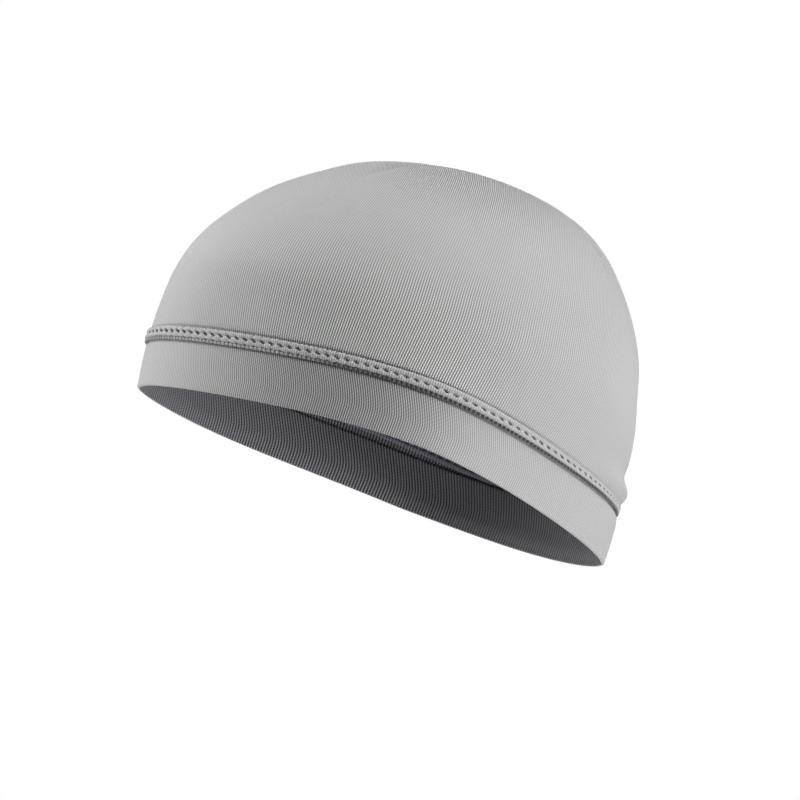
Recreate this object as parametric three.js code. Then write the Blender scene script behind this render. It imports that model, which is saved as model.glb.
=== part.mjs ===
// Helmet liner cap: a close skull cap of stretch knit, in the form it has when worn.
// Millimetres, +Z up out of the crown, forehead towards -Y, nape towards +Y, wearer's left towards +X.
// The origin lies in the middle of the head opening, level with the rim at forehead and nape.
import * as THREE from 'three';

// Driving sizes
const CAP_LENGTH = 199; // outside, forehead to nape, at the fullest level
const CAP_WIDTH = 155; // outside, side to side, at the fullest level
const CAP_HEIGHT = 127; // rim to the top of the crown, outside
const RIM_ARCH = 4.6; // rise of the rim at the sides above forehead and nape
const BAND_HEIGHT = 20.6; // rim to the middle of the seam, at the forehead
const SEAM_ARCH = 2.2; // how much taller the band is at the sides
const NAPE_RISE = 2.3; // how much taller it is at the nape
const KNIT = 1.0; // one layer of the knit
const BAND_LAYERS = 2; // the band is folded at the rim
const SEAM_HEIGHT = 5.6; // both rolls of the outer seam
const ROLL_THICKNESS = 1.2; // each roll, from its back to its crest
const GROOVE_THICKNESS = 0.7; // between the rolls, where the stitches pull down
const INNER_SEAM_HEIGHT = 5.2; // flat underside of the seam
const INNER_SEAM_THICKNESS = 0.6;
const CLEARANCE = 0.3; // between one piece and the next
const DART_TURN = 39; // degrees between the middle line and a closing dart, at front and back
const DART_LENGTH = 70; // closing darts, from the top outwards
const DART_DEPTH = 1.0; // how far a dart draws the crown in
const DART_WIDTH = 6; // of the valley that a dart makes
const DART_FADE = 1 / 3; // share of its length over which a dart runs out

// Faces round the cap and up each piece
const AROUND = 64;
const CROWN_RINGS = 18;
const RING_CROWDING = 1.35; // the crown's rings lie closer together near the seam
const BAND_RINGS = 8;
const FOLD_FACES = 5;
const ROLL_FACES = 4;
const STEP = 1e-3; // a short step along the skin, in radians and in rise
const HALVINGS = 40; // of the search for a height
const FULL_TURN = 2 * Math.PI;

const HALF_LENGTH = CAP_LENGTH / 2;
const HALF_WIDTH = CAP_WIDTH / 2;
const BAND_THICKNESS = KNIT * BAND_LAYERS;

// Levels of the outer skin from the rim to the top. up is a share of CAP_HEIGHT. front and back are
// the reaches towards forehead and nape, and widest is how far behind the origin the widest line
// lies, as shares of HALF_LENGTH. side is a share of HALF_WIDTH. full is the plan's exponent, 2 for
// an ellipse and more for a squarer plan.
const LEVELS = [
  { name: 'rim', up: 0.0, front: 0.98, back: 0.976, side: 0.945, widest: 0.146, full: 1.62 },
  { name: 'band', up: 0.094, front: 1.001, back: 0.972, side: 0.9625, widest: 0.136, full: 1.67 },
  { name: 'seam', up: 0.189, front: 1.014, back: 0.96, side: 0.98, widest: 0.1255, full: 1.725 },
  { name: 'brow', up: 0.283, front: 1.019, back: 0.94, side: 0.992, widest: 0.135, full: 1.88 },
  { name: 'temple', up: 0.394, front: 1.012, back: 0.917, side: 1.0, widest: 0.145, full: 2.04 },
  { name: 'forehead', up: 0.504, front: 0.974, back: 0.878, side: 0.98, widest: 0.135, full: 2.06 },
  { name: 'hairline', up: 0.614, front: 0.894, back: 0.834, side: 0.932, widest: 0.13, full: 2.08 },
  { name: 'shoulder', up: 0.717, front: 0.787, back: 0.762, side: 0.853, widest: 0.125, full: 2.1 },
  { name: 'upper', up: 0.811, front: 0.646, back: 0.672, side: 0.74, widest: 0.115, full: 2.1 },
  { name: 'high', up: 0.89, front: 0.502, back: 0.575, side: 0.59, widest: 0.105, full: 2.08 },
  { name: 'cap', up: 0.949, front: 0.31, back: 0.455, side: 0.415, widest: 0.09, full: 2.05 },
  { name: 'near_top', up: 0.986, front: 0.12, back: 0.281, side: 0.21, widest: 0.082, full: 2.0 },
  { name: 'top', up: 1.0, front: -0.08, back: 0.08, side: 0.0, widest: 0.08, full: 2.0 },
];
const ARCH_LEAN = 0.26; // the arch's top lies this much towards the forehead

// Dents and swellings of the crown. turn is degrees from the forehead, up and tall are shares of
// CAP_HEIGHT, across is degrees, and deep is a share of KNIT, negative where the cloth swells out.
const DENTS = [
  { name: 'nape_crease', turn: 180, up: 0.272, tall: 0.028, across: 22, deep: 0.9 },
  { name: 'nape_swell', turn: 180, up: 0.225, tall: 0.026, across: 22, deep: -1.8 },
  { name: 'nape_seam', turn: 180, up: 0.17, tall: 0.026, across: 24, deep: 0.9 },
];

const REACHES = ['up', 'front', 'back', 'side', 'widest', 'full'];

// One row past each end keeps the curve's slope, and past the top it mirrors the crown.
function levelRow(index) {
  const last = LEVELS.length - 1;
  if (index < 0) {
    return Object.fromEntries(REACHES.map((key) => [key, 2 * LEVELS[0][key] - LEVELS[1][key]]));
  }
  if (index <= last) {
    return LEVELS[index];
  }
  const mirror = LEVELS[2 * last - index];
  return { ...mirror, front: -mirror.back, back: -mirror.front, side: -mirror.side };
}

// Smooth values between the rows: rise runs from 0 at the rim to 1 at the top.
function levelAt(rise) {
  const place = THREE.MathUtils.clamp(rise, -0.05, 1) * (LEVELS.length - 1);
  const row = Math.min(Math.max(Math.floor(place), 0), LEVELS.length - 2);
  const t = place - row;
  const [a, b, c, d] = [row - 1, row, row + 1, row + 2].map(levelRow);
  const blend = (key) => {
    const bend = (2 * a[key] - 5 * b[key] + 4 * c[key] - d[key]) * t * t;
    const twist = (3 * b[key] - a[key] - 3 * c[key] + d[key]) * t * t * t;
    return 0.5 * (2 * b[key] + (c[key] - a[key]) * t + bend + twist);
  };
  return Object.fromEntries(REACHES.map((key) => [key, blend(key)]));
}

// The outer skin's point at an angle from the forehead and a rise, before dents.
function skinPoint(angle, rise) {
  const level = levelAt(rise);
  const forward = Math.cos(angle);
  const sideways = Math.sin(angle);
  const widest = level.widest * HALF_LENGTH;
  const ahead = forward > 0 ? level.front * HALF_LENGTH + widest : level.back * HALF_LENGTH - widest;
  const half = level.side * HALF_WIDTH;
  const reach = Math.max(ahead, Number.EPSILON);
  const spread = Math.max(half, Number.EPSILON);
  const sum = Math.abs(forward / reach) ** level.full + Math.abs(sideways / spread) ** level.full;
  const radius = sum ** (-1 / level.full);
  const fade = THREE.MathUtils.clamp(1 - level.up, 0, 1);
  const arch = RIM_ARCH * sideways * sideways * (1 + ARCH_LEAN * forward) * fade;
  return new THREE.Vector3(radius * sideways, widest - radius * forward, level.up * CAP_HEIGHT + arch);
}

// Outward normal of the skin, from two short steps along it.
function skinNormal(angle, rise) {
  if (rise > 1 - STEP) {
    return new THREE.Vector3(0, 0, 1);
  }
  const along = skinPoint(angle + STEP, rise).sub(skinPoint(angle - STEP, rise));
  const up = skinPoint(angle, rise + STEP).sub(skinPoint(angle, rise - STEP));
  return along.cross(up).normalize();
}

// How far the cloth is drawn in at a place of the crown, by dents and by the closing darts.
function drawnIn(angle, rise) {
  const level = levelAt(rise);
  let depth = 0;
  for (const dent of DENTS) {
    const turn = angle - THREE.MathUtils.degToRad(dent.turn) + Math.PI;
    const offset = THREE.MathUtils.euclideanModulo(turn, FULL_TURN) - Math.PI;
    const across = THREE.MathUtils.radToDeg(offset) / dent.across;
    const tall = (level.up - dent.up) / dent.tall;
    depth += dent.deep * KNIT * Math.exp(-across * across - tall * tall);
  }
  const top = skinPoint(angle, 1);
  const out = skinPoint(angle, rise).distanceTo(top);
  const fromSide = Math.abs(THREE.MathUtils.euclideanModulo(angle, Math.PI) - Math.PI / 2);
  const off = Math.abs(fromSide - Math.PI / 2 + THREE.MathUtils.degToRad(DART_TURN));
  const aside = (out * off) / (DART_WIDTH / 2);
  const run = THREE.MathUtils.smoothstep(DART_LENGTH - out, 0, DART_LENGTH * DART_FADE);
  depth += DART_DEPTH * run * Math.exp(-aside * aside);
  return depth;
}

// A point of the cloth at a depth under the skin. A negative depth stands proud of it.
function clothPoint(angle, rise, depth) {
  const point = skinPoint(angle, rise);
  return point.addScaledVector(skinNormal(angle, rise), -(depth + drawnIn(angle, rise)));
}

// How far up the skin a height in millimetres lies.
function riseAtHeight(height) {
  let low = 0;
  let high = 1;
  for (let i = 0; i < HALVINGS; i += 1) {
    const middle = (low + high) / 2;
    if (levelAt(middle).up * CAP_HEIGHT < height) {
      low = middle;
    } else {
      high = middle;
    }
  }
  return (low + high) / 2;
}

// Height of the seam's middle above the rim: the band is lowest at the forehead.
function seamHeight(angle) {
  const backward = Math.max(-Math.cos(angle), 0);
  return BAND_HEIGHT + SEAM_ARCH * Math.sin(angle) ** 2 + NAPE_RISE * backward ** 4;
}

// A closed ring swept from a section, which gives a loop of points for each angle.
function sweptRing(section) {
  const rows = [];
  for (let i = 0; i < AROUND; i += 1) {
    rows.push(section((FULL_TURN * i) / AROUND));
  }
  const count = rows[0].length;
  const positions = rows.flat().flatMap((point) => [point.x, point.y, point.z]);
  const faces = [];
  for (let i = 0; i < AROUND; i += 1) {
    for (let j = 0; j < count; j += 1) {
      const here = i * count + j;
      const above = i * count + ((j + 1) % count);
      const next = ((i + 1) % AROUND) * count + j;
      const nextAbove = ((i + 1) % AROUND) * count + ((j + 1) % count);
      faces.push(here, next, nextAbove, here, nextAbove, above);
    }
  }
  return closedGeometry(positions, faces);
}

// A closed dome: outer rings, an outer pole, an inner pole, and inner rings back down to the hem.
function sweptDome(outer, inner, outerPole, innerPole) {
  const rows = [...outer, ...inner];
  const positions = rows.flat().flatMap((point) => [point.x, point.y, point.z]);
  const poleOut = rows.length * AROUND;
  const poleIn = poleOut + 1;
  positions.push(outerPole.x, outerPole.y, outerPole.z, innerPole.x, innerPole.y, innerPole.z);
  const faces = [];
  const strip = (low, high, outward) => {
    for (let i = 0; i < AROUND; i += 1) {
      const a = low * AROUND + i;
      const b = low * AROUND + ((i + 1) % AROUND);
      const c = high * AROUND + ((i + 1) % AROUND);
      const d = high * AROUND + i;
      faces.push(...(outward ? [a, b, c, a, c, d] : [a, c, b, a, d, c]));
    }
  };
  const rings = outer.length;
  for (let k = 0; k + 1 < rings; k += 1) {
    strip(k, k + 1, true);
    strip(rings + k, rings + k + 1, false);
  }
  strip(0, rings, false);
  for (let i = 0; i < AROUND; i += 1) {
    const next = (i + 1) % AROUND;
    faces.push((rings - 1) * AROUND + i, (rings - 1) * AROUND + next, poleOut);
    faces.push((2 * rings - 1) * AROUND + next, (2 * rings - 1) * AROUND + i, poleIn);
  }
  return closedGeometry(positions, faces);
}

function closedGeometry(positions, faces) {
  const geometry = new THREE.BufferGeometry();
  geometry.setAttribute('position', new THREE.Float32BufferAttribute(positions, 3));
  geometry.setIndex(faces);
  geometry.computeVertexNormals();
  return geometry;
}

function steps(from, to, count) {
  return Array.from({ length: count + 1 }, (_, i) => from + ((to - from) * i) / count);
}

// The band's section: up its outside, across the raw top edge, down its inside, round the fold.
function bandSection(angle) {
  const topRise = riseAtHeight(seamHeight(angle) - CLEARANCE / 2);
  const foldRadius = BAND_THICKNESS / 2;
  const foldRise = riseAtHeight(foldRadius);
  const rises = steps(foldRise, topRise, BAND_RINGS);
  const outside = rises.map((rise) => clothPoint(angle, rise, 0));
  const inside = rises.map((rise) => clothPoint(angle, rise, BAND_THICKNESS)).reverse();
  const fold = [];
  for (let k = 1; k < FOLD_FACES; k += 1) {
    const turn = (Math.PI * k) / FOLD_FACES;
    const depth = foldRadius * (1 + Math.cos(turn));
    const point = clothPoint(angle, foldRise, depth);
    const down = skinPoint(angle, foldRise).sub(skinPoint(angle, 0)).normalize();
    fold.push(point.addScaledVector(down, -foldRadius * Math.sin(turn)));
  }
  return [...outside, ...inside, ...fold];
}

// The outer seam's section: a flat back on the cloth, and two rolls with a stitched groove between.
function coverSeamSection(angle) {
  const middle = seamHeight(angle);
  const heights = steps(middle - SEAM_HEIGHT / 2, middle + SEAM_HEIGHT / 2, 2 * ROLL_FACES);
  const front = heights.map((height, i) => {
    const turn = (Math.PI * (i % ROLL_FACES)) / ROLL_FACES;
    const groove = i === ROLL_FACES;
    const edge = i === 0 || i === 2 * ROLL_FACES;
    const crest = GROOVE_THICKNESS / 2 + (ROLL_THICKNESS - GROOVE_THICKNESS / 2) * Math.sin(turn);
    const thick = groove ? GROOVE_THICKNESS : edge ? GROOVE_THICKNESS / 2 : crest;
    return clothPoint(angle, riseAtHeight(height), -CLEARANCE - thick);
  });
  const back = [...heights].reverse();
  return [...front, ...back.map((height) => clothPoint(angle, riseAtHeight(height), -CLEARANCE))];
}

// The inner seam's section: a flat strip that covers the joint between crown and band. The band
// is thicker than the crown, so the strip slopes over from one to the other.
function innerSeamSection(angle) {
  const middle = seamHeight(angle);
  const low = middle - INNER_SEAM_HEIGHT / 2;
  const high = middle + INNER_SEAM_HEIGHT / 2;
  const onBand = BAND_THICKNESS + CLEARANCE;
  const onCrown = KNIT + CLEARANCE;
  const place = (height, depth) => clothPoint(angle, riseAtHeight(height), depth);
  return [
    place(low, onBand + INNER_SEAM_THICKNESS),
    place(low, onBand),
    place(middle, onBand),
    place(high, onCrown),
    place(high, onCrown + INNER_SEAM_THICKNESS),
    place(middle, onBand + INNER_SEAM_THICKNESS),
  ];
}

// The crown: one layer of knit from the seam to the top.
function crownGeometry() {
  const ring = (share, depth) => {
    const points = [];
    for (let i = 0; i < AROUND; i += 1) {
      const angle = (FULL_TURN * i) / AROUND;
      const hem = riseAtHeight(seamHeight(angle) + CLEARANCE / 2);
      points.push(clothPoint(angle, hem + (1 - hem) * share, depth));
    }
    return points;
  };
  const shares = steps(0, 1, CROWN_RINGS).slice(0, -1).map((share) => share ** RING_CROWDING);
  const outer = shares.map((share) => ring(share, 0));
  const inner = shares.map((share) => ring(share, KNIT));
  return sweptDome(outer, inner, clothPoint(0, 1, 0), clothPoint(0, 1, KNIT));
}

const outerKnit = { color: 0xbdbdbd, roughness: 0.75, metalness: 0 };
const seamKnit = { color: 0xa9a9ab, roughness: 0.7, metalness: 0 };

function piece(name, geometry, finish) {
  const mesh = new THREE.Mesh(geometry, new THREE.MeshStandardMaterial(finish));
  mesh.name = name;
  return mesh;
}

const cap = new THREE.Group();
cap.add(piece('crown', crownGeometry(), outerKnit));
cap.add(piece('band', sweptRing(bandSection), outerKnit));
cap.add(piece('cover_seam', sweptRing(coverSeamSection), seamKnit));
cap.add(piece('inner_seam', sweptRing(innerSeamSection), seamKnit));

export default cap;
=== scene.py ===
"""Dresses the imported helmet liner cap: ribbed knit, folded headband, double-roll seam and its threads.

Everything is in metres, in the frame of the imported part: +Z up out of the crown, forehead towards -Y,
nape towards +Y and the cap's left side towards +X. Angles run round the cap from the forehead.
"""

import logging
import math
from dataclasses import astuple, dataclass, field, replace
from enum import Enum
from typing import Any

import bpy
import numpy as np
from mathutils import Matrix, Vector


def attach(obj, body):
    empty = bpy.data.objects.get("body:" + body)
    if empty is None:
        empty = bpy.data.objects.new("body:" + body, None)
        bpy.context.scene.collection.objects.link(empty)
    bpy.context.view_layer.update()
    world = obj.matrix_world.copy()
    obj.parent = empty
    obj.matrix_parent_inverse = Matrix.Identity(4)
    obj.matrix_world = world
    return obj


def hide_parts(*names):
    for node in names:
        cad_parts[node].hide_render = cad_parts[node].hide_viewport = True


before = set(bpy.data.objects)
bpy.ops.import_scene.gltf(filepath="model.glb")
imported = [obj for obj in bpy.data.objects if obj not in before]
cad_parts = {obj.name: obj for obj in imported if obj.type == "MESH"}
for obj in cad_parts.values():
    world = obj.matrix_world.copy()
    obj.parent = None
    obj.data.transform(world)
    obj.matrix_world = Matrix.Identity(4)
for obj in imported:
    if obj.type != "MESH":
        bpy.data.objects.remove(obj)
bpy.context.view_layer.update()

MM = 0.001
FULL_TURN = 2 * math.pi
TINY = 1e-15
LOG = logging.getLogger("helmet_liner_cap")


class Slot(Enum):
    """Names of the pieces' material slots."""

    KNIT = "cap_knit"
    SEAM = "seam_knit"
    THREAD = "stitch_thread"


class Face(Enum):
    """Which side of the cloth a face of a wall belongs to: the index of its material."""

    OUTSIDE = 0
    INSIDE = 1


def smooth(share: np.ndarray) -> np.ndarray:
    """A soft climb from 0 to 1 as the share goes from 0 to 1, and level beyond both ends."""
    share = np.clip(share, 0, 1)
    return share**2 * (3 - 2 * share)


def unit(vectors: np.ndarray) -> np.ndarray:
    """The vectors along the last axis at a length of one."""
    return vectors / np.maximum(np.linalg.norm(vectors, axis=-1, keepdims=True), TINY)


# Form


@dataclass(frozen=True)
class Level:
    """One level of the outer skin.

    up is a share of the cap's height; front, back and widest are shares of half its length; side is a
    share of half its width; full is the plan's exponent, 2 for an ellipse and more for a squarer plan.
    """

    up: float
    front: float
    back: float
    side: float
    widest: float
    full: float


LEVELS = {
    "rim": Level(up=0.0, front=0.98, back=0.976, side=0.945, widest=0.146, full=1.62),
    "band": Level(up=0.094, front=1.001, back=0.972, side=0.9625, widest=0.136, full=1.67),
    "seam": Level(up=0.189, front=1.014, back=0.96, side=0.98, widest=0.1255, full=1.725),
    "brow": Level(up=0.283, front=1.019, back=0.94, side=0.992, widest=0.135, full=1.88),
    "temple": Level(up=0.394, front=1.012, back=0.917, side=1.0, widest=0.145, full=2.04),
    "forehead": Level(up=0.504, front=0.974, back=0.878, side=0.98, widest=0.135, full=2.06),
    "hairline": Level(up=0.614, front=0.894, back=0.834, side=0.932, widest=0.13, full=2.08),
    "shoulder": Level(up=0.717, front=0.787, back=0.762, side=0.853, widest=0.125, full=2.1),
    "upper": Level(up=0.811, front=0.646, back=0.672, side=0.74, widest=0.115, full=2.1),
    "high": Level(up=0.89, front=0.502, back=0.575, side=0.59, widest=0.105, full=2.08),
    "cap": Level(up=0.949, front=0.31, back=0.455, side=0.415, widest=0.09, full=2.05),
    "near_top": Level(up=0.986, front=0.12, back=0.281, side=0.21, widest=0.082, full=2.0),
    "top": Level(up=1.0, front=-0.08, back=0.08, side=0.0, widest=0.08, full=2.0),
}


@dataclass(frozen=True)
class Dent:
    """A dent of the cloth, or a swelling where deep is negative.

    turn and across are in degrees, up and tall are shares of the height, deep is in metres.
    """

    turn: float
    up: float
    tall: float
    across: float
    deep: float


@dataclass(frozen=True)
class CapForm:
    """The smooth form that all pieces lie on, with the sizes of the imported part.

    The rim arches up at the sides, and the band is lowest at the forehead. Four darts draw the dome in
    towards the top. The stitches crease the cloth along both edges of the seam, which is pulled tight at
    the nape, where the cloth swells above it.
    """

    length: float = 199 * MM
    width: float = 155 * MM
    height: float = 127 * MM
    rim_arch: float = 4.6 * MM
    arch_lean: float = 0.26
    band_height: float = 20.6 * MM
    seam_arch: float = 2.2 * MM
    nape_rise: float = 2.3 * MM
    knit: float = 1.0 * MM
    band_layers: int = 2
    seam_tall: float = 5.2 * MM
    dart_turn: float = 39
    dart_length: float = 80 * MM
    dart_depth: float = 1.8 * MM
    dart_width: float = 3.6 * MM
    dart_fade: float = 1 / 3
    crease_above: float = 0.8 * MM
    crease_below: float = 1.6 * MM
    crease_width: float = 1.3 * MM
    crease_forehead: float = 0.3
    crease_ends: float = 0.35
    forehead_reach: float = 2
    nape_tight: float = 0.32
    nape_drop: float = 0.8 * MM
    step: float = 1e-3
    lowest_rise: float = -0.05
    rise_samples: int = 4001
    seam_samples: int = 2881
    dents: tuple[Dent, ...] = (
        Dent(turn=180, up=0.272, tall=0.028, across=22, deep=0.9 * MM),
        Dent(turn=180, up=0.225, tall=0.026, across=22, deep=-1.8 * MM),
        Dent(turn=180, up=0.17, tall=0.026, across=24, deep=0.9 * MM),
    )

    @property
    def band_thickness(self) -> float:
        """Both layers of the band."""
        return self.knit * self.band_layers

    @property
    def turns(self) -> np.ndarray:
        """Angles once round the cap, close together."""
        return np.linspace(0, FULL_TURN, self.seam_samples)

    @property
    def seam_length(self) -> float:
        """The seam's length round the cap, in metres."""
        return self.seam_lengths(np.array([FULL_TURN]))[0]

    def forehead_share(self, angle: np.ndarray) -> np.ndarray:
        """1 across the forehead, falling to 0 at the sides."""
        return np.clip(self.forehead_reach * np.cos(angle), 0, 1)

    def nape_share(self, angle: np.ndarray) -> np.ndarray:
        """1 at the middle of the nape, falling to 0 at the sides."""
        return np.maximum(-np.cos(angle), 0) ** 2

    def level_rows(self) -> np.ndarray:
        """The levels as rows, with one more past each end that keeps the curve's slope.

        Returns:
            Rows of up, front, back, side, widest and full.
        """
        rows = np.array([astuple(level) for level in LEVELS.values()])
        below = 2 * rows[0] - rows[1]
        beyond = rows[-2].copy()
        beyond[1:4] = -rows[-2][[2, 1, 3]]
        return np.vstack([below, rows, beyond])

    def level_at(self, rise: np.ndarray) -> np.ndarray:
        """Smooth values between the levels.

        Args:
            rise: from 0 at the rim to 1 at the top, any shape.

        Returns:
            The six values of a level, along a new last axis.
        """
        rows = self.level_rows()
        spans = len(LEVELS) - 1
        place = np.clip(np.asarray(rise, float), self.lowest_rise, 1) * spans
        row = np.clip(np.floor(place).astype(int), 0, spans - 1)
        t = (place - row)[..., None]
        a, b, c, d = rows[row], rows[row + 1], rows[row + 2], rows[row + 3]
        bend = (2 * a - 5 * b + 4 * c - d) * t**2
        twist = (3 * b - a - 3 * c + d) * t**3
        return 0.5 * (2 * b + (c - a) * t + bend + twist)

    def skin(self, angle: np.ndarray, rise: np.ndarray) -> np.ndarray:
        """Points of the outer skin before dents.

        Args:
            angle: radians from the forehead.
            rise: from 0 at the rim to 1 at the top.

        Returns:
            Points in metres, along a new last axis.
        """
        angle, rise = np.broadcast_arrays(np.asarray(angle, float), np.asarray(rise, float))
        up, front, back, side, widest, full = np.moveaxis(self.level_at(rise), -1, 0)
        forward, sideways = np.cos(angle), np.sin(angle)
        half_length = self.length / 2
        middle = widest * half_length
        reach = np.where(forward > 0, front * half_length + middle, back * half_length - middle)
        reach = np.maximum(reach, TINY)
        half = np.maximum(side * self.width / 2, TINY)
        total = np.abs(forward / reach) ** full + np.abs(sideways / half) ** full
        radius = total ** (-1 / full)
        arch = self.rim_arch * sideways**2 * (1 + self.arch_lean * forward) * np.clip(1 - up, 0, 1)
        return np.stack([radius * sideways, middle - radius * forward, up * self.height + arch], -1)

    def normal(self, angle: np.ndarray, rise: np.ndarray) -> np.ndarray:
        """Outward unit normals of the skin.

        Args:
            angle: radians from the forehead.
            rise: from 0 at the rim to 1 at the top.

        Returns:
            Vectors of length one, straight up at the top.
        """
        along = self.skin(angle + self.step, rise) - self.skin(angle - self.step, rise)
        up = self.skin(angle, rise + self.step) - self.skin(angle, rise - self.step)
        out = unit(np.cross(along, up))
        top = np.broadcast_to(np.asarray(rise) > 1 - self.step, out.shape[:-1])[..., None]
        return np.where(top, np.array([0.0, 0.0, 1.0]), out)

    def drawn_in(self, angle: np.ndarray, rise: np.ndarray) -> np.ndarray:
        """How far dents and closing darts draw the cloth in.

        Args:
            angle: radians from the forehead.
            rise: from 0 at the rim to 1 at the top.

        Returns:
            Depths in metres.
        """
        up = self.level_at(rise)[..., 0]
        depth = np.zeros(np.broadcast(angle, rise).shape)
        for dent in self.dents:
            turn = (angle - math.radians(dent.turn) + math.pi) % FULL_TURN - math.pi
            across = np.degrees(turn) / dent.across
            tall = (up - dent.up) / dent.tall
            depth = depth + dent.deep * np.exp(-(across**2) - tall**2)
        top = self.skin(angle, np.ones_like(rise))
        out = np.linalg.norm(self.skin(angle, rise) - top, axis=-1)
        from_side = np.abs(angle % math.pi - math.pi / 2)
        off = np.abs(from_side - math.pi / 2 + math.radians(self.dart_turn))
        aside = out * off / (self.dart_width / 2)
        run = smooth((self.dart_length - out) / (self.dart_length * self.dart_fade))
        return depth + self.dart_depth * run * np.exp(-(aside**2))

    def cloth(self, angle: np.ndarray, rise: np.ndarray, depth: np.ndarray | float) -> np.ndarray:
        """Points at a depth under the skin; a negative depth stands proud of it."""
        sink = np.asarray(depth) + self.drawn_in(angle, rise)
        return self.skin(angle, rise) - self.normal(angle, rise) * sink[..., None]

    def rise_at(self, height: np.ndarray) -> np.ndarray:
        """How far up the skin a height in metres lies."""
        rises = np.linspace(0, 1, self.rise_samples)
        return np.interp(height, self.level_at(rises)[:, 0] * self.height, rises)

    def seam_height(self, angle: np.ndarray) -> np.ndarray:
        """Height of the seam's middle above the rim, in metres."""
        arch = self.seam_arch * np.sin(angle) ** 2
        return self.band_height + arch + self.nape_rise * self.nape_share(angle) ** 2

    def tightness(self, angle: np.ndarray) -> np.ndarray:
        """How wide and proud the seam is: pulled tight at the nape."""
        return 1 - self.nape_tight * self.nape_share(angle)

    def drop(self, angle: np.ndarray) -> np.ndarray:
        """How far the rolls sit below the joint of the two cloths, in metres."""
        return self.nape_drop * self.nape_share(angle)

    def creased(self, angle: np.ndarray, rise: np.ndarray) -> np.ndarray:
        """How deep the stitches draw the cloth in along both edges of the seam.

        Args:
            angle: radians from the forehead.
            rise: from 0 at the rim to 1 at the top.

        Returns:
            Depths in metres: shallower above the seam at both ends of the cap, and below it at the forehead.
        """
        height = self.level_at(rise)[..., 0] * self.height
        above = height - self.seam_height(angle) + self.drop(angle)
        forehead = 1 - (1 - self.crease_forehead) * self.forehead_share(angle)
        ends = 1 - (1 - self.crease_ends) * np.cos(angle) ** 2
        deep = np.where(above > 0, self.crease_above * ends, self.crease_below * forehead)
        off = (np.abs(above) - self.seam_tall * self.tightness(angle) / 2) / (self.crease_width / 2)
        return deep * np.exp(-(off**2))

    def at_seam(self, angle: np.ndarray, above: np.ndarray, out: np.ndarray) -> np.ndarray:
        """Points near the seam.

        Args:
            angle: radians from the forehead.
            above: metres above the seam's middle.
            out: metres proud of the skin.

        Returns:
            Points in metres.
        """
        tight = self.tightness(angle)
        height = self.seam_height(angle) - self.drop(angle) + above * tight
        return self.cloth(angle, self.rise_at(height), -np.where(out > 0, out * tight, out))

    def seam_lengths(self, angle: np.ndarray) -> np.ndarray:
        """Lengths along the seam from the forehead to angles within one turn.

        Args:
            angle: radians from the forehead.

        Returns:
            Lengths in metres.
        """
        level = np.zeros(self.seam_samples)
        line = self.at_seam(self.turns, level, level)
        steps = np.linalg.norm(np.diff(line, axis=0), axis=1)
        return np.interp(angle, self.turns, np.concatenate([[0], np.cumsum(steps)]))

    def seam_run(self, angle: np.ndarray) -> np.ndarray:
        """Lengths along the seam to angles that may go past one turn, in metres."""
        laps = np.floor(angle / FULL_TURN)
        return self.seam_lengths(angle - laps * FULL_TURN) + laps * self.seam_length

    def seam_angles(self, count: int) -> np.ndarray:
        """Angles of points spaced evenly along the seam, starting at the forehead."""
        lengths = self.seam_lengths(self.turns)
        return np.interp(np.arange(count) * lengths[-1] / count, lengths, self.turns)


@dataclass(frozen=True)
class WaleField:
    """Where the knit's upright ribs, its wales, run.

    Low on the cap they follow the uprights of the form. Towards the top they turn parallel within each of
    four panels, and meet in a mirrored line at the darts between the panels. Rows of loops, the courses,
    are about .5 mm apart on the real cloth, too fine for the picture: course_pitch draws them coarser.
    """

    form: CapForm
    pitch: float = 0.95 * MM
    upper_pitch: float = 0.9 * MM
    turns_from: float = 70 * MM
    turns_to: float = 140 * MM
    course_pitch: float = 1.25 * MM

    @property
    def marks(self) -> np.ndarray:
        """Angles of the panels' middles and the darts between them, in turn.

        Returns:
            Angles from the forehead to a little past one turn, in radians.
        """
        dart = math.radians(self.form.dart_turn)
        half = np.array([0, dart, math.pi / 2, math.pi - dart])
        turn = np.concatenate([half, half + math.pi])
        return np.concatenate([turn, turn[:3] + FULL_TURN])

    def panel_of(self, angle: np.ndarray) -> np.ndarray:
        """Which panel an angle within the first turn lies in, counted from the forehead."""
        return np.searchsorted(self.marks[1::2], angle)

    def low(self, angle: np.ndarray, panel: np.ndarray) -> np.ndarray:
        """Wales from the panel's middle, counted along the seam.

        Args:
            angle: radians from the forehead.
            panel: the panel's number.

        Returns:
            The count, even at every dart, so that the pattern closes round the cap.
        """
        at_marks = self.form.seam_run(self.marks)
        pairs = np.round(np.diff(at_marks) / self.pitch / 2)
        whole = np.concatenate([[0], np.cumsum(2 * pairs)])
        count = np.interp(self.form.seam_run(angle), at_marks, whole)
        return count - np.interp(panel * math.pi / 2, self.marks, whole)

    def count(self, angle: np.ndarray, rise: np.ndarray, panel: np.ndarray) -> np.ndarray:
        """Wales from the panel's middle line.

        Args:
            angle: radians from the forehead, within half a panel of the panel's middle.
            rise: from 0 at the rim to 1 at the top.
            panel: the panel's number.

        Returns:
            The count, whole on each wale's groove.
        """
        point = self.form.skin(angle, rise)
        top = self.form.skin(angle, np.ones_like(rise))
        middle = panel * math.pi / 2
        widest = self.form.level_at(rise)[..., 4] * self.form.length / 2
        across_x = point[..., 0] - top[..., 0]
        across_y = point[..., 1] - widest
        aside = across_x * np.cos(middle) + across_y * np.sin(middle)
        blend = smooth((point[..., 2] - self.turns_from) / (self.turns_to - self.turns_from))
        return (1 - blend) * self.low(angle, panel) + blend * aside / self.upper_pitch


# Finishes


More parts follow.
